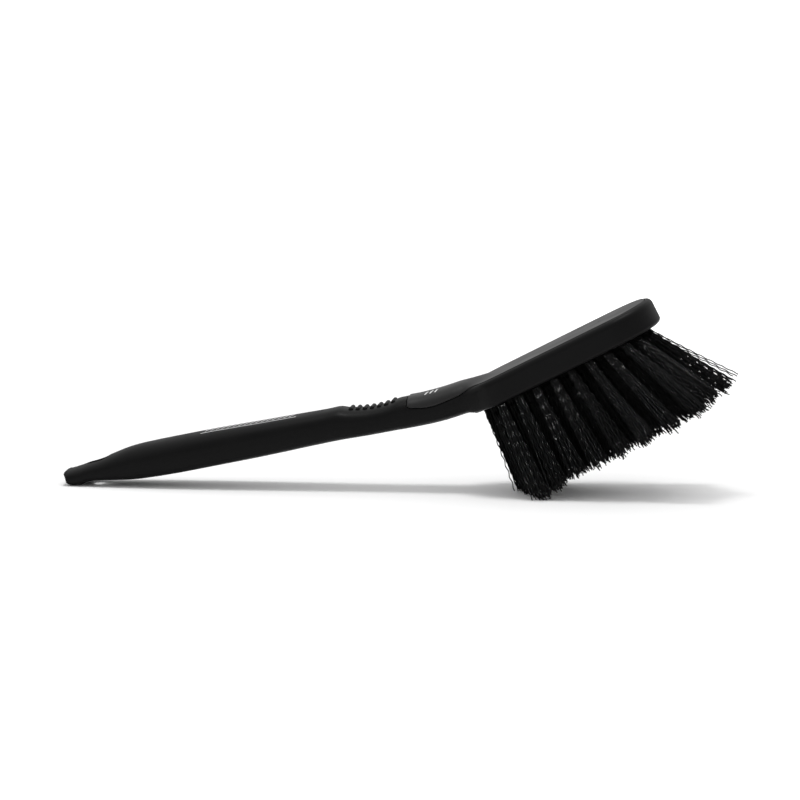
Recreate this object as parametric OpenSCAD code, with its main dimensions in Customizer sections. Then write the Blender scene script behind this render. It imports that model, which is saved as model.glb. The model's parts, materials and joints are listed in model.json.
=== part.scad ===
// Angled wheel brush: a hard core with a drilled head block, a soft overmould that forms the
// grip and the head bumper, flat wire anchors and crimped bristle tufts.
// The brush lies as it rests on a table: +X from the tail to the head, +Z up, and the origin at
// the middle of the small flat foot under the tail. Millimetres.

/* [Handle] */
// Half width of the grip at its fullest place
grip_half_w = 15; // [13:0.5:17]
// Half width of the neck just behind the head
neck_half_w = 14; // [12:0.5:15]
// Radius of the hanging hole in the tail
hang_r = 4; // [3:0.5:5]
// Number of thumb ribs
rib_count = 7; // [3:1:9]
// Distance from one thumb rib to the next
rib_pitch = 3.75; // [3:0.25:4.5]

/* [Head] */
// Slope of the head block
head_angle = 27.1; // [26:0.1:29]
// Length of the head block from the shoulder to the nose
head_l = 100; // [96:0.5:106]
// Width of the head at its widest place
head_w = 57; // [54:1:62]
// Thickness of the head block
head_t = 13.6; // [12:0.2:14]
// Wall of the soft bumper around the head block
bumper_t = 3; // [2:0.5:4]

/* [Bristles] */
// Distance from one tuft to the next along a row
tuft_pitch = 10.1; // [10:0.1:10.4]
// Distance between two rows
row_pitch = 10.5; // [10:0.1:11]
// Radius of a tuft hole
hole_r = 2.4; // [2:0.1:2.8]
// Free length of the longest bristles
bristle_l = 53.5; // [50:0.5:55]
// Depth of the trimmed face below the head block
trim_depth = 51; // [46:0.5:52]

/* [Hidden] */
// The head block's rear lower corner, from which its own axes s (forward) and n (up) start
head_at = [221.1, 0, 45.7];
// Handle stations: distance forward, top, bottom and half width
stations = [
    [-5.2, 7.5, 5.2, 10.6],
    [-4.4, 7.8, 2.8, 11.2],
    [-3.2, 8.1, -0.6, 11.8],
    [2.4, 9.9, -0.7, 12.3],
    [6, 11.3, 1.5, 12.6],
    [14, 14.1, 2.4, 13.1],
    [26, 19.3, 2.9, 13.8],
    [36, 22.4, 3.8, 14.3],
    [54, 26.4, 6.8, grip_half_w],
    [76, 30.8, 11.4, grip_half_w],
    [100, 35.2, 16.5, 14.6],
    [122, 39.4, 21.6, 14],
    [135, 41.9, 24.5, 13.5],
    [142, 43.6, 26, 13.3],
    [146, 42.9, 26.8, 13.1],
    [158, 43.6, 29, 13],
    [169, 46.4, 31.2, 13],
    [173, 48.6, 32, 13],
    [184, 50.6, 34.2, 13.2],
    [198, 54.6, 37.6, 13.6],
    [212, 59.6, 42.7, neck_half_w],
    [224, 63, 49, 15]
];
// Exponent of the handle's rounded section, where 2 would be an ellipse
section_power = 2.7;
// Points round one handle section
section_n = 24;
// Sections between two stations
section_steps = 2;

// Places along the head where its outline changes
shoulder_from = -10;
shoulder_to = 7;
widest_at = 72;
// Half width of the head just in front of the shoulder
rear_half_w = 26.5;
// Exponent of the nose's rounded outline
nose_power = 2.4;
// Points along one side of the head outline
outline_n = 26;
// Radii of the bumper's upper and lower edges
edge_top_r = 3.2;
edge_low_r = 2;
// The hard deck stands this much above the bumper, inside a groove of this width and depth
deck_rise = 0.4;
groove_w = 0.5;
groove_d = 1.2;

// Hanging hole: its place along the tail, its tilt, the wall left and the dish round it
hang_x = 13;
hang_z = 8.2;
hang_tilt = -12;
hang_wall = 7;
dish_r = 6.4;

// Hard tongue on top of the neck: its start, half width and rise above the overmould
tongue_from = 178;
tongue_half_w = 14.2;
tongue_rise = 0.3;
// Gap round the tongue
tongue_gap = 0.3;
// Place where the neck starts to widen into the head, and how much the tongue widens with it
neck_to = 209;
shoulder_rise = 6;
// Parting line under the tongue's flank, seen from the side: distance forward and height
parting = [[178, 44.9], [189, 45.3], [195, 47], [202, 50.4], [212, 54.4], [221, 60.5]];
// Hard tang inside the grip: ends and half width
tang_from = 24;
tang_half_w = 7;
tang_wall = 4.2;

// Thumb ribs: first rib, radius and half length
rib_from = 148;
rib_r = 1.3;
rib_half_l = 6.5;

// Tufts: first place along the head, depth of a hole and the fold of a tuft above its anchor
tuft_from = 7.8;
hole_depth = 9.6;
anchor_h = 2.2;
anchor_t = 0.5;
anchor_half_w = 3;
// Radius of a tuft at its tips, and how far along its axis it starts to widen
tip_r = 3.9;
mouth_drop = 2;
// Lean of a tuft from the head's normal: at the rear, at the nose, and how it grows between
rear_lean = -1.5;
nose_lean = 33;
lean_power = 2.2;
// Lean of the outer rows to the side
side_lean = 6;
// The first tufts are this much longer, up to this place along the head
rear_extra = 6.5;
rear_extra_to = 20;
// Number of tufts in the middle, inner and outer rows, and where each row starts in pitches
row_counts = [10, 9, 8];
row_starts = [-1, -0.5, 0];
row_ids = [-2, -1, 0, 1, 2];

function tuft_name(row, i) = str("tuft_", row + 3, "_", i + 1);
TUFTS = [for (row = row_ids) for (i = [0:row_counts[abs(row)] - 1]) [row, i]];

function mix(a, b, f) = a + (b - a) * f;
function ease(f) = f * f * (3 - 2 * f);
function clamp01(f) = min(max(f, 0), 1);
function signed_pow(v, p) = sign(v) * pow(abs(v), p);

// Catmull-Rom curve through four values
function through(a, b, c, d, f) =
    b + 0.5 * f * ((c - a) + f * ((2 * a - 5 * b + 4 * c - d) + f * (3 * (b - c) + d - a)));

// One station of the handle at a running place u, counted in stations
function station(u) =
    let (last = len(stations) - 1)
    let (i = min(floor(u), last - 1))
    let (a = stations[max(i - 1, 0)], b = stations[i])
    let (c = stations[i + 1], d = stations[min(i + 2, last)])
    [for (k = [0:3]) through(a[k], b[k], c[k], d[k], u - i)];

// Points round the handle at one station
function section(st) = [
    for (k = [0:section_n - 1])
        let (t = 360 * k / section_n)
        [
            st[0],
            st[3] * signed_pow(cos(t), 2 / section_power),
            mix(st[2], st[1], 0.5) + 0.5 * (st[1] - st[2]) * signed_pow(sin(t), 2 / section_power)
        ]
];

// Half width of the head at a place s along it
function half_width(s) =
    s < shoulder_to
        ? mix(neck_half_w, rear_half_w, ease(clamp01((s - shoulder_from) / (shoulder_to - shoulder_from))))
    : s < widest_at
        ? mix(rear_half_w, head_w / 2, ease((s - shoulder_to) / (widest_at - shoulder_to)))
    : head_w / 2 * pow(max(1 - pow((s - widest_at) / (head_l - widest_at), nose_power), 0), 1 / nose_power);

// Place s of outline point k, closer together round the nose
function outline_s(k) = mix(shoulder_from, head_l, sin(90 * k / outline_n));
function side_point(k) = [outline_s(k), half_width(outline_s(k))];

// Outline of the head drawn in by an inset, as one closed loop
function side_normal(k) =
    let (a = side_point(max(k - 1, 0)), b = k == outline_n ? [head_l, -side_point(k - 1)[1]] : side_point(k + 1))
    let (d = (b - a) / norm(b - a))
    k == outline_n ? [1, 0] : k == 0 ? [0, 1] : [-d[1], d[0]];
function half_outline(inset) = [for (k = [0:outline_n]) side_point(k) - inset * side_normal(k)];
function outline(inset) =
    let (h = half_outline(inset))
    concat([for (k = [0:outline_n]) [h[k][0], -h[k][1]]], [for (k = [1:outline_n]) h[outline_n - k]]);

// Closed skin through a list of rings that all have the same number of points
module skin(rings) {
    n = len(rings[0]);
    m = len(rings);
    points = [for (r = rings) for (p = r) p];
    sides = [
        for (j = [0:m - 2]) for (i = [0:n - 1])
            [j * n + i, (j + 1) * n + i, (j + 1) * n + (i + 1) % n, j * n + (i + 1) % n]
    ];
    first = [for (i = [0:n - 1]) i];
    last = [for (i = [0:n - 1]) (m - 1) * n + n - 1 - i];
    polyhedron(points, concat(sides, [first], [last]), convexity = 8);
}

module at_head() {
    translate(head_at) rotate([0, -head_angle, 0]) children();
}

// Solid handle with nothing taken out
module handle_form() {
    steps = (len(stations) - 1) * section_steps;
    skin([for (k = [0:steps]) section(station(k / section_steps))]);
}

// Solid head with rounded upper and lower edges
module head_form() {
    arc = [0, 30, 60, 90];
    low = [for (a = arc) [edge_low_r * (1 - sin(a)), edge_low_r * (1 - cos(a))]];
    top = [for (a = arc) [edge_top_r * (1 - cos(a)), head_t - edge_top_r * (1 - sin(a))]];
    at_head() skin([for (v = concat(low, top)) [for (p = outline(v[0])) [p[0], p[1], v[1]]]]);
}

// A plate with the head's outline, between two heights
module head_plate(inset, n0, n1) {
    at_head() translate([0, 0, n0]) linear_extrude(n1 - n0) polygon(outline(inset));
}

// Side outline of the tang, a little inside the handle's top and bottom
module tang_outline() {
    first = 13;
    us = [for (k = [first:2 * (len(stations) - 1)]) k / 2];
    top = [for (u = us) [station(u)[0], station(u)[1] - tang_wall]];
    low = [for (k = [1:len(us)]) [station(us[len(us) - k])[0], station(us[len(us) - k])[2] + tang_wall]];
    polygon(concat(top, low));
}

module tang(gap) {
    intersection() {
        rotate([90, 0, 0]) linear_extrude(2 * (tang_half_w + gap), center = true) tang_outline();
        translate([tang_from - gap, -50, 0]) cube([300, 100, 120]);
    }
}

// Region above the parting line between the tongue and the overmould, as seen from the side
module above_parting(drop) {
    rotate([90, 0, 0]) linear_extrude(100, center = true)
        polygon(concat([for (p = parting) p - [0, drop]], [[parting[5][0], 90], [parting[0][0], 90]]));
}

// Plan region of the tongue, which widens where the neck runs into the head
module tongue_plan(gap) {
    w = tongue_half_w + gap;
    linear_extrude(120) polygon([
        [tongue_from - gap, -w], [neck_to, -w], [parting[5][0], -w - shoulder_rise],
        [parting[5][0], w + shoulder_rise], [neck_to, w], [tongue_from - gap, w]
    ]);
}

// Hard tongue: the top of the neck, standing a little proud of the overmould behind it
module tongue() {
    intersection() {
        translate([0, 0, tongue_rise]) handle_form();
        above_parting(0);
        tongue_plan(0);
    }
}

// Everything of the core before it is drilled, which is also what the overmould leaves free
module core_form() {
    head_plate(bumper_t, 0, head_t - groove_d);
    head_plate(bumper_t + groove_w, head_t - groove_d, head_t + deck_rise);
    tang(0);
    tongue();
}

// Lean from the head's normal of a tuft at a place s, and the place and side lean of each tuft
function lean(s) = mix(rear_lean, nose_lean, pow(clamp01(s / (head_l - 8)), lean_power));
function tuft_s(row, i) = tuft_from + tuft_pitch * (i + row_starts[abs(row)]);
function tuft_len(s) = min(bristle_l, trim_depth / cos(lean(s))) + rear_extra * clamp01(1 - s / rear_extra_to);

// Axes of one tuft and of its hole: the origin in the hole's mouth, up into the head block
module at_tuft(row, i) {
    s = tuft_s(row, i);
    at_head() translate([s, row * row_pitch, 0]) rotate([row * side_lean / 2, -lean(s), 0]) children();
}

module tuft_hole() {
    translate([0, 0, -mouth_drop]) cylinder(hole_depth + mouth_drop, hole_r, hole_r, $fn = 32);
}

// Flat wire at the bottom of a hole, which bites into the block on both sides
module anchor_wire() {
    translate([-anchor_half_w, -anchor_t / 2, hole_depth - anchor_h]) cube([2 * anchor_half_w, anchor_t, anchor_h]);
}

// Everything below the table top, which flattens the foot and the tips that rest on it
module under_table() {
    translate([-50, -100, -50]) cube([500, 200, 50]);
}

module hard_core() {
    color("#1c1c1d") difference() {
        core_form();
        for (t = TUFTS) at_tuft(t[0], t[1]) {
            tuft_hole();
            anchor_wire();
        }
    }
}

module hang_hole() {
    translate([hang_x, 0, hang_z]) rotate([0, hang_tilt, 0]) {
        translate([0, 0, -30]) cylinder(60, hang_r, hang_r, $fn = 64);
        translate([0, 0, hang_wall / 2]) cylinder(20, dish_r, dish_r, $fn = 64);
        translate([0, 0, -hang_wall / 2 - 20]) cylinder(20, dish_r, dish_r, $fn = 64);
    }
}

module thumb_ribs() {
    for (k = [0:rib_count - 1]) {
        x = rib_from + k * rib_pitch;
        z = lookup(x, [for (u = [13:0.25:18]) [station(u)[0], station(u)[1]]]);
        translate([x, 0, z - 0.3]) rotate([90, 0, 0]) cylinder(2 * rib_half_l, rib_r, rib_r, center = true, $fn = 24);
    }
}

module soft_overmould() {
    color("#141414") difference() {
        union() {
            handle_form();
            head_form();
            thumb_ribs();
        }
        head_plate(bumper_t, -1, head_t - groove_d);
        head_plate(bumper_t - 0.1, head_t - groove_d, head_t + 5);
        tang(0);
        intersection() {
            above_parting(tongue_gap);
            tongue_plan(tongue_gap);
        }
        hang_hole();
        under_table();
    }
}

module tuft_anchors() {
    color("#b9bcc0") for (t = TUFTS) at_tuft(t[0], t[1]) anchor_wire();
}

// One tuft: a straight shank folded over its wire, and a bundle that widens to the trimmed tips
module tuft(row, i) {
    len = tuft_len(tuft_s(row, i));
    color("#0a0a0a") difference() {
        at_tuft(row, i) rotate_extrude($fn = 32) polygon([
            [0, hole_depth], [0, -len], [tip_r, -len], [hole_r, -mouth_drop], [hole_r, hole_depth]
        ]);
        at_tuft(row, i) anchor_wire();
        under_table();
    }
}

hard_core();
soft_overmould();
tuft_anchors();
for (t = TUFTS) tuft(t[0], t[1]);
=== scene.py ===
"""Looks of the wheel brush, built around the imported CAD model.

The outer skin is one smooth surface, lofted through sections that are measured on the CAD nodes.
It is sampled once for the soft overmould and once for the hard tongue and deck that lie in it.
Each tuft becomes a bundle of separate crimped filaments along its CAD node's own axis.
Lengths are in millimetres until a mesh is made. +X runs from the tail to the head.
"""

import json
import math

import bmesh
import bpy
import numpy as np
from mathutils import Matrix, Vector
from mathutils.bvhtree import BVHTree

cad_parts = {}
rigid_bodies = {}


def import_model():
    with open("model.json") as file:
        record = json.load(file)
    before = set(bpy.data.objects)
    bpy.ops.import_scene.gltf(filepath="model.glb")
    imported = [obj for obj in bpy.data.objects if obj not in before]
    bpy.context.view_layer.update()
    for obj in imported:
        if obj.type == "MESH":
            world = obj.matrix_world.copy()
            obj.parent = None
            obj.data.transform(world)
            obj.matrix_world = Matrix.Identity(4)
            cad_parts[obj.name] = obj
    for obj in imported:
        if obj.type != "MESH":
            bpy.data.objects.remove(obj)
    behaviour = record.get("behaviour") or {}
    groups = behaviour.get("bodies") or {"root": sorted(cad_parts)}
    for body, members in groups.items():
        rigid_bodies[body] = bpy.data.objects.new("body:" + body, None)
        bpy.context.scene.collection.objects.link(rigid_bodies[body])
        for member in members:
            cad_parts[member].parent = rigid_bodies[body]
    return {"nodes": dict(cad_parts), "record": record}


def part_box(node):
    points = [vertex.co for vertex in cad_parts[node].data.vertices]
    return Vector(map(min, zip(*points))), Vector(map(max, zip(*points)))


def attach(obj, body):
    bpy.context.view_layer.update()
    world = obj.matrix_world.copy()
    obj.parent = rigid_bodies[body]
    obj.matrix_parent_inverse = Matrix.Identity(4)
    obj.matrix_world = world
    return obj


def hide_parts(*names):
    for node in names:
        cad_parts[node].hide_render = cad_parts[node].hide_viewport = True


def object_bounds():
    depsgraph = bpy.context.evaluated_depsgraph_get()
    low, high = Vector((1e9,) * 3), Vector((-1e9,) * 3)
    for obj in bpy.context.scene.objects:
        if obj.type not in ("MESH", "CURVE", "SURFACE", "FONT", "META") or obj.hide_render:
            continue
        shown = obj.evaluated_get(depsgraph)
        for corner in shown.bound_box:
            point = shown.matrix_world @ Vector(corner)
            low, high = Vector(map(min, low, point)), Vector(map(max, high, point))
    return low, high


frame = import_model()
cad_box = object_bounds()

MM = 0.001
UP = np.array([0.0, 0.0, 1.0])
LEFT = np.array([0.0, 1.0, 0.0])


# ---------------------------------------------------------------- measuring the CAD model


def node_mesh(name):
    """Vertices in millimetres and triangles of a CAD node."""
    mesh = frame["nodes"][name].data
    mesh.calc_loop_triangles()
    co = np.zeros(len(mesh.vertices) * 3)
    mesh.vertices.foreach_get("co", co)
    tri = np.zeros(len(mesh.loop_triangles) * 3, int)
    mesh.loop_triangles.foreach_get("vertices", tri)
    return co.reshape(-1, 3) / MM, tri.reshape(-1, 3)


def search_tree(*meshes):
    points, faces = [], []
    for co, tri in meshes:
        faces += (tri + len(points)).tolist()
        points += [Vector(p) for p in co]
    return BVHTree.FromPolygons(points, faces)


def hit(tree, start, way):
    """First point of the tree's surface on a ray, or None. Two more rays a hair to the side keep one
    that slips between two triangles from going on to the far side."""
    found = []
    for nudge in (0, 0.01, -0.013):
        moved = Vector(start) + Vector((nudge, nudge / 3, nudge / 7))
        point, _, _, distance = tree.ray_cast(moved, Vector(way))
        if point:
            found.append((distance, point))
    return min(found, key=lambda f: f[0])[1] if found else None


def triangle_areas(mesh):
    """Unit normals and areas of a mesh's triangles."""
    co, tri = mesh
    cross = np.cross(co[tri[:, 1]] - co[tri[:, 0]], co[tri[:, 2]] - co[tri[:, 0]])
    size = np.linalg.norm(cross, axis=1)
    return cross / np.maximum(size, 1e-9)[:, None], size / 2


def top_height(mesh, axis):
    """Height along an axis of the highest flat side of the head block that faces along it."""
    co, tri = mesh
    facing = triangle_areas(mesh)[0] @ axis > 0.9999
    heights = co[tri].mean(1)
    in_head = heights @ head_out > nose_at - 0.6 * HEAD_LENGTH
    return float((heights @ axis)[facing & in_head].max())


def smoothed(values, step, sigma):
    """Gaussian smoothing of evenly spaced values that keeps straight ends straight."""
    reach = int(4 * sigma / step) + 1
    kernel = np.exp(-0.5 * (np.arange(-reach, reach + 1) * step / sigma) ** 2)
    first = 2 * values[0] - values[reach:0:-1]
    last = 2 * values[-1] - values[-2 : -reach - 2 : -1]
    return np.convolve(np.concatenate([first, values, last]), kernel / kernel.sum(), "valid")


def ease(f):
    """Smooth step from 0 to 1 as f does."""
    f = np.clip(f, 0, 1)
    return f * f * (3 - 2 * f)


core_mesh, skin_mesh = node_mesh("hard_core"), node_mesh("soft_overmould")
core_tree, skin_tree = search_tree(core_mesh), search_tree(skin_mesh)
whole_tree = search_tree(core_mesh, skin_mesh)

# Axes of the head block: head_up is the deck's normal, and head_out runs from the neck to the nose.
core_normals, core_areas = triangle_areas(core_mesh)
head_up = core_normals[np.where(core_normals @ UP > 0.5, core_areas, 0).argmax()]
head_out = np.array([head_up[2], 0, -head_up[0]])
# Length of the head block, which puts s = 0 at its shoulder.
HEAD_LENGTH = 100
nose_at = (skin_mesh[0] @ head_out).max()
deck_height = top_height(core_mesh, head_up)
under_height = -top_height(core_mesh, -head_up)


def head_point(s, y, n):
    """A point of the head from its distance past the shoulder, to the left and above the underside."""
    return head_out * (s + nose_at - HEAD_LENGTH) + LEFT * y + head_up * (n + under_height)


# Spacing of the measured places, and a distance that lies outside the brush
STEP = 0.5
FAR = 150
# Rays for the top and bottom run beside the hanging hole and the thumb ribs, and past the ribs
# between two rows of tufts.
BESIDE = 8.5
BETWEEN_ROWS = 5.3
PAST_RIBS = 176
# Exponents of the handle's rounded section: in CAD, above its widest line at the tail and at the
# neck, and below it
CAD_POWER = 2.7
TAIL_POWER, NECK_POWER = 2.15, 3.0
LOW_POWER = 3.0
# Widths over which the measurements are smoothed, in millimetres and, for the nose, in degrees
HANDLE_SOFT, WIDTH_SOFT, CROWN_SOFT, NECK_SOFT, PARTING_SOFT = 1.1, 2.0, 1.5, 3.5, 2.2
NOSE_SOFT = 3.0
# The first stretch of the tail keeps its measured corners, and smoothing sets in after it.
SHARP_TAIL = 6
# The last place at which the handle is measured, inside the head
HANDLE_END = 226

tail_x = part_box("soft_overmould")[0].x / MM
handle_x = np.arange(tail_x + 0.02, HANDLE_END, STEP)


def widest(start, way, shifts):
    """Half width of the brush at the widest of a few places around one on a ray from the left."""
    found = [hit(whole_tree, np.array(start) + np.array(way) * v, -LEFT) for v in shifts]
    return max(point.y for point in found if point)


def handle_profile():
    """Top, bottom and half width of the handle at each place in handle_x."""
    rows = []
    for x in handle_x:
        beside = BESIDE if x < PAST_RIBS else BETWEEN_ROWS
        top = hit(whole_tree, (x, beside, FAR), (0, 0, -1)).z
        low = hit(whole_tree, (x, beside, -FAR), (0, 0, 1)).z
        middle = (top + low) / 2
        wide = widest((x, FAR, middle), UP, (-2, 0, 2))
        crown = (1 - (beside / wide) ** CAD_POWER) ** (1 / CAD_POWER)
        rows.append([middle + (top - middle) / crown, middle - (middle - low) / crown, wide])
    raw = np.array(rows).T
    soft = np.array([smoothed(v, STEP, HANDLE_SOFT) for v in raw])
    share = ease((handle_x - tail_x - SHARP_TAIL) / SHARP_TAIL)
    top, low, wide = raw * (1 - share) + soft * share
    return top, np.maximum(low, 0), wide


handle_top, handle_low, handle_wide = handle_profile()

# The deck stands this far above the bumper's top.
DECK_RISE = 0.4
bumper_top = deck_height - under_height - DECK_RISE
# Height above the underside at which the head's width is measured
MID_HEAD = 5.0
# The head's own sections are measured from the neck to the nose, and its crown as far as the flat deck.
NECK_S, DECK_S, NOSE_S = -30, 40, 92


def head_height(s, y, start, way):
    """Height, along head_up, at which a ray from above or below meets the brush."""
    return hit(whole_tree, head_point(s, y, start), way) @ Vector(head_up)


head_s = np.arange(NECK_S, NOSE_S, STEP)
head_wide = np.array([widest(head_point(s, FAR, MID_HEAD), head_up, (-2.5, 0, 2.5, 4)) for s in head_s])
head_wide = smoothed(head_wide, STEP, WIDTH_SOFT)
crown_s = np.arange(NECK_S, DECK_S, STEP)
crown_top = np.array([head_height(s, 0, FAR, -head_up) for s in crown_s])
crown_top = smoothed(crown_top - under_height, STEP, CROWN_SOFT)
crown_low = np.array([head_height(s, BETWEEN_ROWS, -FAR, head_up) for s in crown_s])
crown_low = smoothed(crown_low - under_height, STEP, NECK_SOFT)


def head_slope(s):
    """Change of the head's half width per millimetre along it."""
    return (np.interp(s + 1, head_s, head_wide) - np.interp(s - 1, head_s, head_wide)) / 2


# Round the nose the sections turn about a point on the head's middle line.
FAN_S = 70
fan_angle = np.radians(np.arange(-30, 120.5, 1.0))


def nose_radius():
    """Distance from that point to the nose's outline at each angle in fan_angle."""
    radii = []
    for a in fan_angle:
        way = head_out * math.sin(a) + LEFT * math.cos(a)
        point = hit(skin_tree, head_point(FAN_S, 0, MID_HEAD) + way * FAR, -way)
        radii.append((np.array(point) - head_point(FAN_S, 0, MID_HEAD)) @ way)
    return smoothed(np.array(radii), 1.0, NOSE_SOFT)


fan_radius = nose_radius()


# A place on the grip, short of the tongue
SHORT_OF_TONGUE = 140.0


def tongue_start():
    """Place where a ray from above first meets the hard tongue."""
    x = SHORT_OF_TONGUE
    while True:
        core = hit(core_tree, (x, 0, FAR), (0, 0, -1))
        skin = hit(skin_tree, (x, 0, FAR), (0, 0, -1))
        if core and (not skin or core.z > skin.z):
            return x
        x += 0.1


def parting_height(x):
    """Height on the flank where the tongue ends and the overmould begins."""
    top = np.interp(x, handle_x, handle_top)
    low = np.interp(x, handle_x, handle_low)
    for z in np.arange(top - 0.4, low, -0.15):
        core = hit(core_tree, (x, FAR, z), (0, -1, 0))
        skin = hit(skin_tree, (x, FAR, z), (0, -1, 0))
        if skin and (not core or skin.y > core.y):
            return z
    return low


tongue_x = tongue_start()
parting_x = np.arange(tongue_x + 0.5, HANDLE_END, 1.0)
parting_z = smoothed(np.array([parting_height(x) for x in parting_x]), 1.0, PARTING_SOFT)
# Radius of the tongue's rear corners
TONGUE_CORNER = 2.6


# ---------------------------------------------------------------- the smooth outer surface

# The handle's upright sections turn into the head's own sections between these places.
TURN_FROM = -16
TURN_TO = 6
# Radii of the head's upper and lower edges, and the width of the bumper's top
EDGE_TOP = 3.2
EDGE_LOW = 2.0
BUMPER = 3.0
# Points on the parts of the head's half section: the underside, each edge, the side and the top
FLAT_POINTS, EDGE_POINTS, SIDE_POINTS, TOP_POINTS = 120, 60, 100, 160
DENSE = FLAT_POINTS + EDGE_POINTS + SIDE_POINTS + EDGE_POINTS + TOP_POINTS
# Share of the half width at which the flat underside ends
LOW_SHARE = 0.55
# Stretch beside the rim that its own marks take up
RIM_MARGIN = 1.2


def handle_middle(x):
    return (np.interp(x, handle_x, handle_top) + np.interp(x, handle_x, handle_low)) / 2


def handle_contour(x, wide=None):
    """Half section of the handle from its bottom middle to its top middle, the length of its low
    stretch and the index of its rim."""
    top = np.interp(x, handle_x, handle_top)
    low = np.interp(x, handle_x, handle_low)
    wide = np.interp(x, handle_x, handle_wide) if wide is None else wide
    t = np.radians(np.linspace(-90, 90, DENSE))
    top_power = TAIL_POWER + (NECK_POWER - TAIL_POWER) * ease((x - 20) / 90)
    power = np.where(t > 0, top_power, LOW_POWER)
    y = wide * np.abs(np.cos(t)) ** (2 / power)
    z = (top + low) / 2 + (top - low) / 2 * np.sign(t) * np.abs(np.sin(t)) ** (2 / power)
    mark = np.interp(x, parting_x, parting_z) + (handle_middle(x) - handle_middle(max(x, tongue_x)))
    corner = TONGUE_CORNER - np.clip(x - tongue_x, 0, TONGUE_CORNER)
    mark += TONGUE_CORNER - math.sqrt(max(TONGUE_CORNER**2 - corner**2, 0)) if x > tongue_x - 0.3 else 0
    points = np.stack([np.full(DENSE, x), y, z], 1)
    return points, LOW_SHARE * wide, (points[:, 2] < mark).sum()


def slab_contour(wide, low, top, rim_inset):
    """Half section of the head in its own plane: distance out, height, and the index of the rim."""
    arc = np.linspace(0, math.pi / 2, EDGE_POINTS)
    flat_low = np.linspace(0, wide - EDGE_LOW, FLAT_POINTS, endpoint=False)
    inner = np.linspace(wide - EDGE_TOP, 0, TOP_POINTS)
    out = np.concatenate(
        [
            flat_low,
            wide - EDGE_LOW + EDGE_LOW * np.sin(arc),
            np.full(SIDE_POINTS, wide),
            wide - EDGE_TOP + EDGE_TOP * np.cos(arc),
            inner,
        ]
    )
    crown = (top - bumper_top) * (0.5 + 0.5 * np.cos(math.pi * np.clip(inner / (wide - BUMPER), 0, 1)))
    up = np.concatenate(
        [
            np.full(FLAT_POINTS, low),
            low + EDGE_LOW - EDGE_LOW * np.cos(arc),
            np.linspace(low + EDGE_LOW, bumper_top - EDGE_TOP, SIDE_POINTS + 2)[1:-1],
            bumper_top - EDGE_TOP + EDGE_TOP * np.sin(arc),
            bumper_top + crown,
        ]
    )
    first_top = FLAT_POINTS + EDGE_POINTS + SIDE_POINTS
    rim = first_top + np.argmax(out[first_top:] < wide - rim_inset)
    return out, up, rim


def head_contour(s):
    """Half section of the head at a distance past its shoulder."""
    wide = np.interp(s, head_s, head_wide)
    top, low = bumper_top, 0
    if s < crown_s[-1]:
        top = max(np.interp(s, crown_s, crown_top) - DECK_RISE, bumper_top)
        low = np.interp(s, crown_s, crown_low)
    out, up, rim = slab_contour(wide, low, top, BUMPER * math.hypot(1, head_slope(s)))
    points = head_point(s, 0, 0) + out[:, None] * LEFT + up[:, None] * head_up
    return points, LOW_SHARE * wide, rim


def nose_contour(angle):
    """Half section of the nose at an angle from straight across (90 degrees) to straight ahead (0)."""
    wide = np.interp(math.pi / 2 - angle, fan_angle, fan_radius)
    turn = np.interp(math.pi / 2 - angle + 0.03, fan_angle, fan_radius)
    turn = (turn - np.interp(math.pi / 2 - angle - 0.03, fan_angle, fan_radius)) / 0.06
    out, up, rim = slab_contour(wide, 0, bumper_top, BUMPER * math.hypot(1, turn / wide))
    way = LEFT * math.sin(angle) + head_out * math.cos(angle)
    points = head_point(FAN_S, 0, 0) + out[:, None] * way + up[:, None] * head_up
    return points, LOW_SHARE * wide, rim


def resample(contour, marks):
    """Points and upward tangents of a half section at marks, each a (kind, value) pair. "low", "side"
    and "top" are shares of the low stretch, of the side up to the rim and of the top past it, and
    "rim" is millimetres past the rim."""
    points, low_mark, rim_index = contour
    run = np.concatenate([[0], np.cumsum(np.linalg.norm(np.diff(points, axis=0), axis=1))])
    rim, end = run[min(rim_index, DENSE - 1)], run[-1]
    places = {
        "low": lambda v: v * low_mark,
        "side": lambda v: low_mark + v * (rim - RIM_MARGIN - low_mark),
        "rim": lambda v: rim + v,
        "top": lambda v: rim + RIM_MARGIN + v * (end - rim - RIM_MARGIN),
    }
    at = np.array([places[kind](v) for kind, v in marks])

    def along(shift):
        return np.stack([np.interp(at + shift, run, points[:, k]) for k in range(3)], 1)

    return np.concatenate([along(0), along(0.1) - along(-0.1)], 1)


def station_points(station, marks):
    """Points and tangents of one station, which is ("x", place), ("s", place) or ("nose", angle)."""
    kind, value = station
    if kind == "x":
        return resample(handle_contour(value), marks)
    if kind == "nose":
        return resample(nose_contour(value), marks)
    share = ease((value - TURN_FROM) / (TURN_TO - TURN_FROM))
    head = resample(head_contour(value), marks)
    if share >= 1:
        return head
    x = head_point(value, 0, bumper_top / 2)[0]
    handle = resample(handle_contour(x, np.interp(value, head_s, head_wide)), marks)
    return handle * (1 - share) + head * share


def surface(stations, marks):
    """Grid of points over half of the smooth outer surface, and its outward normals. Where sections
    coincide or meet in a point, a section takes the next one's normal."""
    both = np.array([station_points(s, marks) for s in stations])
    grid, across = both[:, :, :3], both[:, :, 3:]
    normal = np.cross(across, np.gradient(grid, axis=0))
    for row in range(len(normal) - 2, -1, -1):
        poor = np.linalg.norm(normal[row], axis=1) < 1e-7
        normal[row, poor] = normal[row + 1, poor]
    normal[np.abs(grid[:, :, 1]) < 1e-6, 1] = 0
    return grid, normal / np.maximum(np.linalg.norm(normal, axis=2), 1e-9)[:, :, None]


def spaced(first, last, step):
    """Places from first up to, but not including, last, about a step apart."""
    return np.linspace(first, last, max(int(round((last - first) / step)), 1), endpoint=False)


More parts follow.
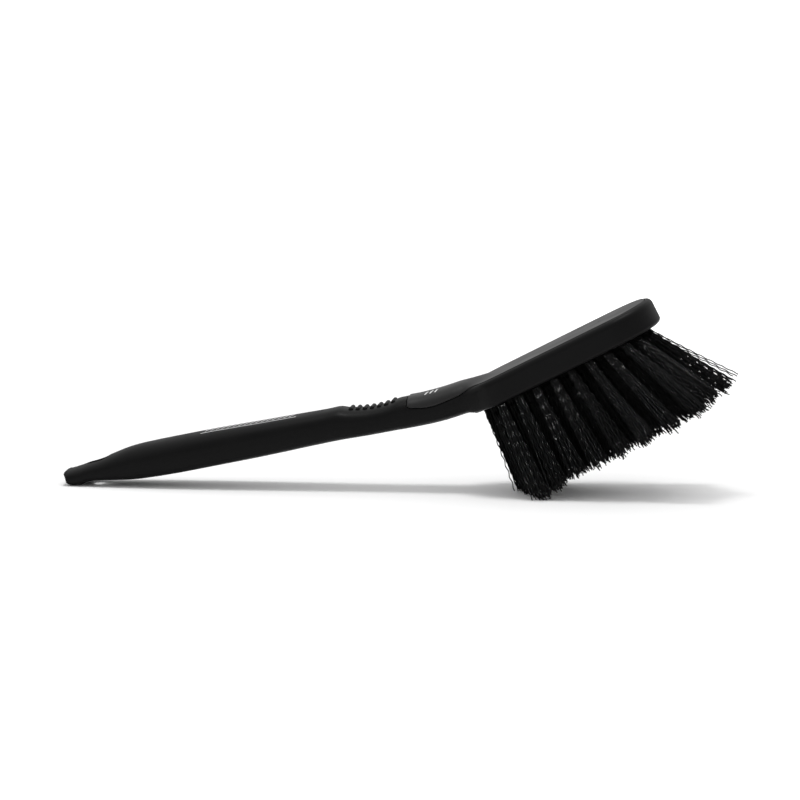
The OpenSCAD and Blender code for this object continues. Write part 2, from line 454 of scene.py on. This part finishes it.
turn_x = head_point(TURN_FROM, 0, bumper_top / 2)[0]
HEAD_STATIONS = [("s", s) for s in spaced(TURN_FROM, FAN_S, 0.8)]
NOSE_STATIONS = [("nose", a) for a in np.radians(np.linspace(90, 0, 64))]


# ---------------------------------------------------------------- mesh helpers


def new_object(name, mesh):
    obj = bpy.data.objects.new(name, mesh)
    bpy.context.scene.collection.objects.link(obj)
    return obj


def drawn(name, bm):
    """Object with the mesh that was drawn in a bmesh, which is used up."""
    mesh = bpy.data.meshes.new(name)
    bm.to_mesh(mesh)
    bm.free()
    return new_object(name, mesh)


def loft(name, grid):
    """Closed mesh from the half sections of a grid, mirrored to the other side. An end that is still
    open is closed by a cap, and points that have come together are merged."""
    rows, columns = grid.shape[:2]
    index = np.arange(rows * columns).reshape(rows, columns)
    faces = np.stack([index[:-1, :-1], index[1:, :-1], index[1:, 1:], index[:-1, 1:]], -1).reshape(-1, 4)
    bm = bmesh.new()
    points = [bm.verts.new(p * MM) for p in grid.reshape(-1, 3)]
    mirrored = [bm.verts.new((p[0] * MM, -p[1] * MM, p[2] * MM)) for p in grid.reshape(-1, 3)]
    for a, b, c, d in faces:
        bm.faces.new([points[k] for k in (a, b, c, d)])
        bm.faces.new([mirrored[k] for k in (d, c, b, a)])
    bmesh.ops.remove_doubles(bm, verts=bm.verts, dist=2e-6)
    bmesh.ops.dissolve_degenerate(bm, edges=bm.edges, dist=1e-6)
    bmesh.ops.holes_fill(bm, edges=[e for e in bm.edges if e.is_boundary], sides=0)
    bmesh.ops.recalc_face_normals(bm, faces=bm.faces)
    return drawn(name, bm)


def combine(obj, other, operation):
    """Boolean of two closed meshes. The other object is used up."""
    change = obj.modifiers.new(operation, "BOOLEAN")
    change.object = other
    change.operation = operation
    change.solver = "MANIFOLD"
    shape = obj.evaluated_get(bpy.context.evaluated_depsgraph_get())
    mesh = bpy.data.meshes.new_from_object(shape)
    obj.modifiers.clear()
    old = obj.data
    obj.data = mesh
    bpy.data.meshes.remove(old)
    bpy.data.objects.remove(other)


def lathe(name, profile, at, axis, sides=64):
    """Closed solid of revolution. The profile is a list of (radius, height along the axis)."""
    turn = Vector((0, 0, 1)).rotation_difference(Vector(axis)).to_matrix()
    bm = bmesh.new()
    rings = []
    for radius, height in profile:
        ring = []
        for k in range(sides):
            a = math.tau * k / sides
            local = Vector((radius * math.cos(a), radius * math.sin(a), height))
            ring.append(bm.verts.new((turn @ local + Vector(at)) * MM))
        rings.append(ring)
    for low, high in zip(rings, rings[1:]):
        for k in range(sides):
            bm.faces.new((low[k], low[(k + 1) % sides], high[(k + 1) % sides], high[k]))
    bm.faces.new(rings[0][::-1])
    bm.faces.new(rings[-1])
    bmesh.ops.remove_doubles(bm, verts=bm.verts, dist=1e-6)
    bmesh.ops.recalc_face_normals(bm, faces=bm.faces)
    return drawn(name, bm)


def shade(obj, angle=32):
    """Smooth shading with sharp edges where faces meet at more than an angle in degrees."""
    obj.data.shade_smooth()
    obj.data.set_sharp_from_angle(angle=math.radians(angle))


def finish_piece(obj, nodes, material):
    """Gives a piece its material and body, and hides the CAD nodes that it stands for."""
    obj.data.materials.clear()
    obj.data.materials.append(material)
    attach(obj, "root")
    if nodes:
        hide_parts(*nodes)


# ---------------------------------------------------------------- materials


def new_material(name):
    """New material with its nodes, links, shader and object coordinates."""
    material = bpy.data.materials.new(name)
    material.use_nodes = True
    nodes, links = material.node_tree.nodes, material.node_tree.links
    shader = nodes["Principled BSDF"]
    where = nodes.new("ShaderNodeTexCoord").outputs["Object"]
    return material, nodes, links, shader, where


def noise(nodes, links, where, scale, detail=3.0, rough=0.5):
    texture = nodes.new("ShaderNodeTexNoise")
    texture.inputs["Scale"].default_value = scale
    texture.inputs["Detail"].default_value = detail
    texture.inputs["Roughness"].default_value = rough
    links.new(where, texture.inputs["Vector"])
    return texture.outputs["Fac"]


def ranged(nodes, links, value, low, high):
    """Follows a noise value from low to high."""
    change = nodes.new("ShaderNodeMapRange")
    change.inputs["From Min"].default_value = 0.3
    change.inputs["From Max"].default_value = 0.7
    change.inputs["To Min"].default_value = low
    change.inputs["To Max"].default_value = high
    links.new(value, change.inputs["Value"])
    return change.outputs["Result"]


def two_tone(nodes, links, value, dark, light):
    """Colour that follows a 0 to 1 value from a dark tone to a light one."""
    ramp = nodes.new("ShaderNodeValToRGB")
    ramp.color_ramp.elements[0].position = 0.35
    ramp.color_ramp.elements[0].color = (*dark, 1)
    ramp.color_ramp.elements[1].position = 0.7
    ramp.color_ramp.elements[1].color = (*light, 1)
    links.new(value, ramp.inputs["Fac"])
    return ramp.outputs["Color"]


def bump(nodes, links, value, depth, strength, under=None):
    """Bumps of a value, on top of the bumps under it."""
    node = nodes.new("ShaderNodeBump")
    node.inputs["Distance"].default_value = depth
    node.inputs["Strength"].default_value = strength
    links.new(value, node.inputs["Height"])
    if under:
        links.new(under, node.inputs["Normal"])
    return node.outputs["Normal"]


def moulded(name, dark, light, roughness, grain, grain_depth, specular):
    """Moulded plastic or rubber: a fine grain, faint flow marks and slightly uneven gloss."""
    material, nodes, links, shader, where = new_material(name)
    wide = noise(nodes, links, where, 55, 4)
    fine = noise(nodes, links, where, grain, 2, 0.6)
    links.new(two_tone(nodes, links, wide, dark, light), shader.inputs["Base Color"])
    links.new(ranged(nodes, links, wide, *roughness), shader.inputs["Roughness"])
    waves = bump(nodes, links, noise(nodes, links, where, 320, 3), 0.00006, 0.25)
    links.new(bump(nodes, links, fine, grain_depth, 0.5, waves), shader.inputs["Normal"])
    shader.inputs["Specular IOR Level"].default_value = specular
    return material


def filament_material():
    """Extruded nylon: nearly black, glossy, with faint lengthwise changes of tone and gloss."""
    material, nodes, links, shader, where = new_material("black_filament")
    tone = noise(nodes, links, where, 420, 2)
    colour = two_tone(nodes, links, tone, (0.0006, 0.0006, 0.0006), (0.0016, 0.0016, 0.0017))
    fine = noise(nodes, links, where, 2500, 2)
    links.new(colour, shader.inputs["Base Color"])
    links.new(ranged(nodes, links, tone, 0.08, 0.16), shader.inputs["Roughness"])
    links.new(bump(nodes, links, fine, 0.00001, 0.3), shader.inputs["Normal"])
    shader.inputs["Specular IOR Level"].default_value = 0.07
    return material


def steel_material():
    """Flat steel wire with uneven gloss."""
    material, nodes, links, shader, where = new_material("flat_wire_steel")
    streaks = noise(nodes, links, where, 900, 3)
    colour = two_tone(nodes, links, streaks, (0.5, 0.51, 0.53), (0.66, 0.67, 0.69))
    links.new(colour, shader.inputs["Base Color"])
    links.new(ranged(nodes, links, streaks, 0.25, 0.42), shader.inputs["Roughness"])
    shader.inputs["Metallic"].default_value = 1.0
    return material


def ink_material():
    """Thin white ink that covers unevenly."""
    material, nodes, links, shader, where = new_material("white_ink")
    cover = noise(nodes, links, where, 1400, 3)
    colour = two_tone(nodes, links, cover, (0.62, 0.62, 0.62), (0.86, 0.86, 0.86))
    links.new(colour, shader.inputs["Base Color"])
    links.new(ranged(nodes, links, cover, 0.42, 0.6), shader.inputs["Roughness"])
    links.new(bump(nodes, links, cover, 0.00001, 0.3), shader.inputs["Normal"])
    return material


soft_black = moulded(
    "soft_black_rubber",
    dark=(0.0014, 0.0014, 0.0015),
    light=(0.0022, 0.0022, 0.0023),
    roughness=(0.42, 0.52),
    grain=2600,
    grain_depth=0.00003,
    specular=0.11,
)
hard_black = moulded(
    "satin_black_plastic",
    dark=(0.004, 0.004, 0.0042),
    light=(0.006, 0.006, 0.0062),
    roughness=(0.34, 0.44),
    grain=3600,
    grain_depth=0.00002,
    specular=0.3,
)
filament_black = filament_material()
wire_steel = steel_material()
white_ink = ink_material()


# ---------------------------------------------------------------- soft overmould

GROOVE_DEPTH = 1.2
GROOVE_GAP = 0.35
# Rim of the overmould beside the tongue and deck: (millimetres past the rim, share of the depth)
RIM_PROFILE = [(-0.45, 0), (-0.25, 0.02), (-0.1, 0.09), (0.0, 0.25), (0.03, 1), (0.6, 1)]
LOW_MARKS, SIDE_MARKS, TOP_MARKS = 12, 46, 24
skin_marks = (
    [("low", v) for v in np.linspace(0, 1, LOW_MARKS, endpoint=False)]
    + [("side", v) for v in np.linspace(0, 1, SIDE_MARKS, endpoint=False)]
    + [("rim", v) for v, _ in RIM_PROFILE]
    + [("top", v) for v in np.linspace(0, 1, TOP_MARKS)]
)
skin_shares = [np.zeros(LOW_MARKS + SIDE_MARKS), [d for _, d in RIM_PROFILE], np.ones(TOP_MARKS)]
skin_depth = np.concatenate(skin_shares) * GROOVE_DEPTH

skin_x = np.concatenate(
    [
        spaced(tail_x + 0.02, tail_x + 4, 0.16),
        spaced(tail_x + 4, 8, 0.5),
        spaced(8, tongue_x - 3, 0.8),
        spaced(tongue_x - 3, tongue_x - 0.45, 0.4),
        tongue_x - np.array([0.45, 0.25, 0.1, 0.0, -0.03]),
        spaced(tongue_x + 0.15, tongue_x + TONGUE_CORNER, 0.16),
        spaced(tongue_x + TONGUE_CORNER, turn_x, 0.8),
    ]
)
skin_stations = [("x", x) for x in skin_x] + HEAD_STATIONS + NOSE_STATIONS


def rim_share(x):
    """Share of the groove's depth that the overmould has at a place near the tongue's rear end."""
    past = [tongue_x + v for v, _ in RIM_PROFILE[:-1]]
    return np.interp(x, past, [d for _, d in RIM_PROFILE[:-1]])


def tail_cap(grid):
    """Rings that close the tail with a slightly domed end face."""
    first = grid[0]
    centre = np.array([first[0, 0], 0, (first[0, 2] + first[-1, 2]) / 2])
    rings = []
    for share, out in ((0.0, 0.3), (0.45, 0.27), (0.8, 0.18), (0.94, 0.07)):
        ring = centre + (first - centre) * share
        ring[:, 0] -= out
        rings.append(ring)
    return np.concatenate([np.array(rings), grid])


def overmould_mesh():
    """Overmould as one closed body, sunk by the groove's depth wherever the tongue and deck lie on it."""
    grid, normal = surface(skin_stations, skin_marks)
    share = np.array([rim_share(s[1]) if s[0] == "x" else 1.0 for s in skin_stations])
    grid = grid - normal * (share[:, None] * skin_depth[None, :])[:, :, None]
    return loft("soft_overmould_skin", tail_cap(grid))


def capsule(name, centre, radius, half_length):
    """Bar across the brush with round ends."""
    profile = []
    for a in np.radians(np.linspace(-90, 90, 17)):
        height = math.copysign(half_length - radius, a) + radius * math.sin(a)
        profile.append((max(radius * math.cos(a), 1e-4), height))
    return lathe(name, profile, centre, (0, 1, 0), 28)


def hole_cutter():
    """Hanging hole with a dish at each mouth, from the row's own mount."""
    mount = next(m for m in frame["record"]["mounts"] if m["name"] == "hang_hole")
    radius, half = mount["dims"]["r_mm"], mount["dims"]["length_mm"] / 2
    dish, soft = 1.6 * radius, 0.7
    arc = np.radians(np.linspace(0, 90, 7))
    side = [(radius + soft - soft * math.cos(a), half - soft + soft * math.sin(a)) for a in arc]
    side += [(dish - 0.4, half), (dish + 0.4, half + 0.5), (dish + 1.6, half + 20)]
    profile = [(r, -h) for r, h in side[::-1]] + side
    return lathe("hole", profile, np.array(mount["pos_m"]) / MM, mount["axis"], 72)


RIB_FIRST, RIB_PITCH, RIB_COUNT = tongue_x - 30, 3.75, 7
RIB_RADIUS, RIB_HALF, RIB_SUNK = 1.3, 6.5, 0.3

skin = overmould_mesh()
for k in range(RIB_COUNT):
    rib_x = RIB_FIRST + k * RIB_PITCH
    rib_z = np.interp(rib_x, handle_x, handle_top) - RIB_SUNK
    combine(skin, capsule("rib", (rib_x, 0, rib_z), RIB_RADIUS, RIB_HALF), "UNION")
combine(skin, hole_cutter(), "DIFFERENCE")


# ---------------------------------------------------------------- hard core

# Thickness and edge radius of the sheet that forms the tongue and deck
CAP_THICK = 1.7
CAP_EDGE = 0.6
# Rear end, rear corners and top of the drilled head block
SLAB_FROM = -8
SLAB_CORNER = 5
SLAB_TOP = bumper_top - 1.3
# Wall round the tang, the tang's half width and the exponent of its section
TANG_WALL, TANG_HALF, TANG_POWER = 4.2, 7.0, 4.0
TANG_FROM, TANG_TO = 24, 214


def edge_drop(distance):
    """How far a rounded edge drops at a distance in from it."""
    inside = np.clip(CAP_EDGE - distance, 0, CAP_EDGE)
    return CAP_EDGE - np.sqrt(CAP_EDGE**2 - inside**2)


def core_cap():
    """Tongue and deck as one closed sheet that stands a little proud of the overmould."""
    edge = [0, 0.04, 0.12, 0.25, 0.42, CAP_EDGE]
    top_shares = np.linspace(0, 1, TOP_MARKS)
    marks = [("top", v) for v in top_shares[::-1]]
    marks += [("rim", GROOVE_GAP)] * 2 + [("rim", GROOVE_GAP + e) for e in edge[1:]]
    marks += [("top", v) for v in top_shares]
    under = TOP_MARKS + 1
    drop = [edge_drop(e) for e in edge]
    depth = np.array([CAP_THICK] * under + [d - DECK_RISE for d in drop] + [-DECK_RISE] * TOP_MARKS)
    is_top = np.arange(len(marks)) >= under
    start = tongue_x + GROOVE_GAP
    near = [start, start] + [start + e for e in edge[1:]]
    corner = spaced(start + 0.7, start + TONGUE_CORNER, 0.16)
    xs = np.concatenate([near, corner, spaced(start + TONGUE_CORNER, turn_x, 0.8)])
    stations = [("x", x) for x in xs] + HEAD_STATIONS + NOSE_STATIONS
    grid, normal = surface(stations, marks)
    depths = np.repeat(depth[None, :], len(stations), 0)
    for k, x in enumerate(xs):
        rear = edge_drop(x - start) - DECK_RISE
        depths[k, is_top] = np.maximum(depths[k, is_top], rear)
    depths[0, :] = CAP_THICK
    return loft("hard_core_skin", grid - normal * depths[:, :, None])


def slab_mesh(name, grow, low, top, edge):
    """Prism of the drilled head block inside the bumper, grown on all sides for its pocket."""
    inset = BUMPER + 0.15 - grow
    rear = SLAB_FROM - grow
    stations = [rear + SLAB_CORNER * (1 - math.cos(a)) for a in np.radians(np.linspace(0, 90, 14))]
    stations = [("s", s) for s in stations]
    stations += [("s", s) for s in spaced(rear + SLAB_CORNER + 0.5, FAN_S, 1.0)] + NOSE_STATIONS
    arc = np.radians(np.linspace(0, 90, 5))
    rows = []
    for kind, value in stations:
        if kind == "s":
            origin, way = head_point(value, 0, 0), LEFT
            out = np.interp(value, head_s, head_wide) - inset * math.hypot(1, head_slope(value))
            back = np.clip(SLAB_CORNER - (value - rear), 0, SLAB_CORNER)
            out -= SLAB_CORNER - math.sqrt(SLAB_CORNER**2 - back**2)
        else:
            origin = head_point(FAN_S, 0, 0)
            way = LEFT * math.sin(value) + head_out * math.cos(value)
            out = np.interp(math.pi / 2 - value, fan_angle, fan_radius) - inset
        across = [0] + [out - edge + edge * math.sin(a) for a in arc] + [out, 0]
        up = [low] + [low + edge - edge * math.cos(a) for a in arc] + [top, top]
        rows.append([origin + way * a + head_up * u for a, u in zip(across, up)])
    return loft(name, np.array(rows))


def tang_mesh(name, grow):
    """Stiffening tang inside the grip, grown on all sides for its room."""
    wall, half = TANG_WALL - grow, TANG_HALF + grow
    t = np.radians(np.linspace(-90, 90, 25))
    y = half * np.abs(np.cos(t)) ** (2 / TANG_POWER)
    rows = []
    for x in spaced(TANG_FROM - grow, TANG_TO, 2.0):
        top = np.interp(x, handle_x, handle_top) - wall
        low = np.interp(x, handle_x, handle_low) + wall
        z = (top + low) / 2 + (top - low) / 2 * np.sign(t) * np.abs(np.sin(t)) ** (2 / TANG_POWER)
        rows.append(np.stack([np.full(len(t), x), y, z], 1))
    return loft(name, np.array(rows))


def tuft_frame(node):
    """Mouth, downward axis and length of one tuft, the radii in its hole and at its tips, and the
    hole's depth."""
    co, tri = node_mesh(node)
    centre = co[tri].mean(1)
    normal, area = triangle_areas((co, tri))
    height = centre @ head_up
    level = (normal @ head_up > 0.75) & (height > height.max() - 1.5)
    axis = (normal * area[:, None])[level].sum(0)
    axis /= np.linalg.norm(axis)
    face = level & (normal @ axis > 0.9999)
    top = (centre * area[:, None])[face].sum(0) / area[face].sum()
    mouth = top - axis * ((top @ head_up - under_height) / (axis @ head_up))
    along = (co - mouth) @ -axis
    radius = np.linalg.norm(co - mouth + along[:, None] * axis, axis=1)
    return mouth, -axis, along.max(), radius[along < -1].max(), radius.max(), (top - mouth) @ axis


tuft_names = sorted(n for n in frame["nodes"] if n.startswith("tuft_") and n != "tuft_anchors")
tufts = {name: tuft_frame(name) for name in tuft_names}

core = core_cap()
combine(core, slab_mesh("slab", 0, 0, SLAB_TOP, 0.3), "UNION")
combine(core, tang_mesh("tang", 0), "UNION")
for mouth, down, _, radius, _, depth in tufts.values():
    profile = [(radius, -3), (radius, depth)]
    combine(core, lathe("bore", profile, mouth, -down, 32), "DIFFERENCE")
combine(skin, slab_mesh("pocket", 0.1, -3, bumper_top + 1, 0.01), "DIFFERENCE")
combine(skin, tang_mesh("tang_room", 0.05), "DIFFERENCE")
shade(skin)
shade(core)
finish_piece(skin, ["soft_overmould"], soft_black)
finish_piece(core, ["hard_core"], hard_black)


# ---------------------------------------------------------------- bristles

# Filaments in a tuft, their radius, and the length and height of their crimp's waves
FILAMENTS = 46
FILAMENT_R = 0.29
CRIMP_PITCH = 5.8
CRIMP_SIZE = 0.36
# How much further than the CAD tuft the tips spread and, before their random cuts, reach
TIP_EXTRA, END_EXTRA = 1.3, 0.6
# Share of filaments that stray outwards, and how far
STRAY_SHARE = 0.05
STRAY_SPREAD = (1.3, 1.8)
# Share of its hole's depth that a filament reaches into
IN_HOLE = 0.75
RINGS = 84
SIDES = 5
GOLDEN = math.pi * (3 - math.sqrt(5))


def filament_paths(tuft, rng):
    """Middle lines of a tuft's filaments, as an array of (filament, ring, xyz)."""
    mouth, down, length, root_r, tip_r, depth = tuft
    side = np.cross(down, LEFT)
    side /= np.linalg.norm(side)
    other = np.cross(down, side)
    k = np.arange(FILAMENTS)
    r = np.sqrt((k + 0.5) / FILAMENTS) * (root_r - FILAMENT_R - 0.02)
    angle = k * GOLDEN + rng.uniform(0, math.tau) + rng.normal(0, 0.15, FILAMENTS)
    spread = (tip_r + TIP_EXTRA) / root_r * rng.normal(1.0, 0.18, FILAMENTS)
    ends = length + END_EXTRA + rng.normal(0, 1.1, FILAMENTS) - rng.exponential(1.0, FILAMENTS)
    stray = rng.uniform(0, 1, FILAMENTS) < STRAY_SHARE
    spread[stray] *= rng.uniform(*STRAY_SPREAD, stray.sum())
    u = np.linspace(0, 1, RINGS)[None, :]
    t = -IN_HOLE * depth + (ends[:, None] + IN_HOLE * depth) * u
    out = np.clip(t, 0, None) / length
    grow = 1 + (spread[:, None] - 1) * out**1.15
    bend = rng.normal(0, 0.55, (2, FILAMENTS, 1)) * out[None] ** 2
    phase = rng.uniform(0, math.tau) + rng.normal(0, 0.5, FILAMENTS)
    plane = rng.uniform(0, math.pi) + rng.normal(0, 0.5, FILAMENTS)
    pitch = CRIMP_PITCH * rng.normal(1, 0.03, FILAMENTS)
    size = CRIMP_SIZE * rng.normal(1, 0.15, FILAMENTS)
    wave = size[:, None] * ease(t / 5) * np.sin(math.tau * t / pitch[:, None] + phase[:, None])
    a = (r * np.cos(angle))[:, None] * grow + bend[0] + wave * np.cos(plane)[:, None]
    b = (r * np.sin(angle))[:, None] * grow + bend[1] + wave * np.sin(plane)[:, None]
    return mouth + t[..., None] * down + a[..., None] * side + b[..., None] * other


def above_floor(paths):
    """Shortens filaments that would pass through the floor."""
    for path in paths:
        below = path[:, 2] < FILAMENT_R
        if below.any():
            first = below.argmax()
            places = np.linspace(0, first - 1, RINGS)
            path[:] = np.stack([np.interp(places, np.arange(RINGS), path[:, k]) for k in range(3)], 1)
    return paths


def tube_mesh(name, paths):
    """Closed round tubes along a set of paths."""
    tangent = np.gradient(paths, axis=1)
    tangent /= np.linalg.norm(tangent, axis=2)[..., None]
    first = np.cross(tangent, LEFT)
    first /= np.linalg.norm(first, axis=2)[..., None]
    second = np.cross(tangent, first)
    turn = np.arange(SIDES) * math.tau / SIDES
    ring = first[:, :, None] * np.cos(turn)[:, None] + second[:, :, None] * np.sin(turn)[:, None]
    points = (paths[:, :, None] + FILAMENT_R * ring) * MM
    count = len(paths)
    index = np.arange(count * RINGS * SIDES).reshape(count, RINGS, SIDES)
    after = np.roll(index, -1, axis=2)
    quads = np.stack([index[:, :-1], after[:, :-1], after[:, 1:], index[:, 1:]], -1).reshape(-1, 4)
    caps = np.concatenate([index[:, 0, ::-1], index[:, -1]])
    loops = np.concatenate([quads.ravel(), caps.ravel()])
    starts = np.concatenate([np.arange(len(quads)) * 4, len(quads) * 4 + np.arange(len(caps)) * SIDES])
    mesh = bpy.data.meshes.new(name)
    mesh.vertices.add(points.size // 3)
    mesh.vertices.foreach_set("co", points.ravel())
    mesh.loops.add(len(loops))
    mesh.loops.foreach_set("vertex_index", loops.astype(np.int32))
    mesh.polygons.add(len(starts))
    mesh.polygons.foreach_set("loop_start", starts.astype(np.int32))
    mesh.update(calc_edges=True)
    mesh.shade_smooth()
    return new_object(name, mesh)


for number, name in enumerate(tuft_names):
    rng = np.random.default_rng(1000 + number)
    bundle = tube_mesh(name + "_filaments", above_floor(filament_paths(tufts[name], rng)))
    finish_piece(bundle, [name], filament_black)

anchors = frame["nodes"]["tuft_anchors"]
anchors.data.materials.clear()
anchors.data.materials.append(wire_steel)


# ---------------------------------------------------------------- printed marks


def printed(name, strokes, under):
    """Thin ink strokes laid on a surface. A stroke is a list of (x, y) pairs with a width."""
    tree = BVHTree.FromObject(under, bpy.context.evaluated_depsgraph_get())
    bm = bmesh.new()
    for path, width in strokes:
        path = np.array(path, float)
        tangent = np.gradient(path, axis=0)
        tangent /= np.linalg.norm(tangent, axis=1)[:, None]
        across = np.stack([-tangent[:, 1], tangent[:, 0]], 1) * width / 2
        rings = []
        for p, w in zip(path, across):
            corners = []
            for side, lift in ((1, -0.05), (1, 0.03), (-1, 0.03), (-1, -0.05)):
                x, y = p + side * w
                spot, normal = tree.ray_cast(Vector((x * MM, y * MM, FAR * MM)), Vector((0, 0, -1)))[:2]
                corners.append(bm.verts.new(spot + normal * lift * MM))
            rings.append(corners)
        for a, b in zip(rings, rings[1:]):
            for k in range(4):
                bm.faces.new((a[k], a[(k + 1) % 4], b[(k + 1) % 4], b[k]))
        bm.faces.new(rings[0][::-1])
        bm.faces.new(rings[-1])
    bmesh.ops.recalc_face_normals(bm, faces=bm.faces)
    finish_piece(drawn(name, bm), [], white_ink)


def line(x0, y0, x1, y1, step=0.6):
    """Evenly spaced points from one (x, y) place to another."""
    count = max(int(math.hypot(x1 - x0, y1 - y0) / step), 2)
    return [(x0 + (x1 - x0) * k / count, y0 + (y1 - y0) * k / count) for k in range(count + 1)]


def grip_mark():
    """Two fine lines with a row of slanted dashes between them."""
    first, last, half = tongue_x - 110, tongue_x - 59, 6.2
    strokes = [(line(first, side * half, last, side * half), 0.7) for side in (-1, 1)]
    for k in range(16):
        x = first + 2 + k * (last - first - 6) / 15
        strokes.append((line(x, -3.4, x + 2, 3.4), 0.8))
    printed("grip_print", strokes, skin)


def tongue_mark():
    """Three short slanted dashes on the tongue, like those on the grip."""
    strokes = []
    for k in range(3):
        x = tongue_x + 9.5 + 2.6 * k
        strokes.append((line(x, -8.2, x + 1.2, -3.6), 0.9))
    printed("tongue_print", strokes, core)


grip_mark()
tongue_mark()


# ---------------------------------------------------------------- floor, light and camera


middle_x = (cad_box[0][0] + cad_box[1][0]) / 2
RING_SIDES = 96


def ring_surface(name, profile):
    """Surface of revolution in metres about an upright axis through the middle of the brush, and that
    axis's foot. The first ring is closed when it is small."""
    centre = Vector((middle_x, 0, 0))
    turn = [math.tau * k / RING_SIDES for k in range(RING_SIDES)]
    bm = bmesh.new()
    rings = []
    for radius, height in profile:
        places = [Vector((radius * math.cos(a), radius * math.sin(a), height)) for a in turn]
        rings.append([bm.verts.new(centre + place) for place in places])
    for a, b in zip(rings, rings[1:]):
        for k in range(RING_SIDES):
            after = (k + 1) % RING_SIDES
            bm.faces.new((a[k], b[k], b[after], a[after]))
    if profile[0][0] < 0.1:
        bm.faces.new(rings[0])
    obj = drawn(name, bm)
    obj.data.shade_smooth()
    return obj, centre


FLOOR_RADIUS = 1.25
# The floor glows from this far out, up to this strength at its edge.
GLOW_FROM, GLOW_MOST = 0.24, 0.9
FLOOR_TONE = 0.95


def studio_floor():
    """Round white floor that glows softly towards its edge, so that it stays white in the distance."""
    floor, centre = ring_surface("studio_floor", [(0.02, 0), (0.5, 0), (1, 0), (FLOOR_RADIUS, 0)])
    material, nodes, links, shader, where = new_material("white_floor")
    shader.inputs["Base Color"].default_value = (FLOOR_TONE, FLOOR_TONE, FLOOR_TONE, 1)
    shader.inputs["Roughness"].default_value = 0.9
    shader.inputs["Specular IOR Level"].default_value = 0.1
    shader.inputs["Emission Color"].default_value = (1, 1, 1, 1)
    spread = nodes.new("ShaderNodeVectorMath")
    spread.operation = "DISTANCE"
    spread.inputs[1].default_value = centre
    links.new(where, spread.inputs[0])
    glow = nodes.new("ShaderNodeMapRange")
    glow.interpolation_type = "SMOOTHSTEP"
    glow.inputs["From Min"].default_value = GLOW_FROM
    glow.inputs["From Max"].default_value = FLOOR_RADIUS
    glow.inputs["To Min"].default_value = 0.0
    glow.inputs["To Max"].default_value = GLOW_MOST
    links.new(spread.outputs["Value"], glow.inputs["Value"])
    links.new(glow.outputs["Result"], shader.inputs["Emission Strength"])
    floor.data.materials.append(material)


def studio_backdrop():
    """White sweep beyond the floor, for the eye only: it neither lights the brush nor shows in it."""
    rise, height = 1.2, 3.0
    arc = np.radians(np.linspace(0, 90, 12))
    profile = [(FLOOR_RADIUS - 0.01, -0.001), (2, -0.001)]
    profile += [(2 + rise * math.sin(a), rise - rise * math.cos(a)) for a in arc[1:]]
    profile.append((2 + rise, height))
    backdrop, _ = ring_surface("studio_backdrop", profile)
    material, nodes, links, shader, where = new_material("white_backdrop")
    cloud = noise(nodes, links, where, 0.7)
    links.new(two_tone(nodes, links, cloud, (0.88, 0.88, 0.88), (0.9, 0.9, 0.9)), shader.inputs["Base Color"])
    shader.inputs["Roughness"].default_value = 0.9
    shader.inputs["Emission Color"].default_value = (1, 1, 1, 1)
    shader.inputs["Emission Strength"].default_value = 1.0
    backdrop.data.materials.append(material)
    backdrop.visible_diffuse = False
    backdrop.visible_glossy = False
    backdrop.visible_shadow = False


def area_light(name, at, target, size, power):
    """Rectangular lamp that faces a target and that the camera doesn't see."""
    data = bpy.data.lights.new(name, "AREA")
    data.shape = "RECTANGLE"
    data.size, data.size_y = size
    data.energy = power
    light = bpy.data.objects.new(name, data)
    light.location = at
    light.rotation_euler = (Vector(target) - Vector(at)).to_track_quat("-Z", "Y").to_euler()
    light.visible_camera = False
    bpy.context.scene.collection.objects.link(light)
    return light


# Strength of the light tent underfoot and overhead
DOME_LOW, DOME_HIGH = 0.5, 0.98


def lighting():
    """White light tent that is brightest overhead, a softbox in its roof, and two small lamps in front
    that light only the filaments."""
    middle = (middle_x, 0, 0.03)
    area_light("overhead_softbox", (middle[0], -0.05, 1.3), middle, (0.36, 0.3), 6.7)
    sparkling = bpy.data.collections.new("sparkling")
    for name in tuft_names:
        sparkling.objects.link(bpy.data.objects[name + "_filaments"])
    for name, side in (("left_lamp", -0.7), ("right_lamp", 0.5)):
        lamp = area_light(name, (middle[0] + side, -1.3, 0.85), middle, (0.1, 0.1), 36)
        lamp.light_linking.receiver_collection = sparkling
    world = bpy.data.worlds.new("studio")
    world.use_nodes = True
    nodes, links = world.node_tree.nodes, world.node_tree.links
    way = nodes.new("ShaderNodeSeparateXYZ")
    links.new(nodes.new("ShaderNodeTexCoord").outputs["Generated"], way.inputs[0])
    level = nodes.new("ShaderNodeMapRange")
    level.inputs["To Min"].default_value = DOME_LOW
    level.inputs["To Max"].default_value = DOME_HIGH
    links.new(way.outputs["Z"], level.inputs["Value"])
    links.new(level.outputs["Result"], nodes["Background"].inputs["Strength"])
    nodes["Background"].inputs["Color"].default_value = (1, 1, 1, 1)
    bpy.context.scene.world = world
    bpy.context.scene.view_settings.view_transform = "Standard"


def camera():
    """Nearly level view of the brush from its right side."""
    distance, azimuth, elevation = 1.6, math.radians(6.5), math.radians(7.66)
    target = Vector((0.17349, 0, 0.04743))
    level = math.cos(elevation)
    look = Vector((-math.sin(azimuth) * level, math.cos(azimuth) * level, -math.sin(elevation)))
    data = bpy.data.cameras.new("camera")
    data.sensor_width = 36
    data.lens = 136.8
    view = bpy.data.objects.new("camera", data)
    view.location = target - look * distance
    view.rotation_euler = look.to_track_quat("-Z", "Y").to_euler()
    bpy.context.scene.collection.objects.link(view)
    bpy.context.scene.camera = view


studio_floor()
studio_backdrop()
lighting()
camera()
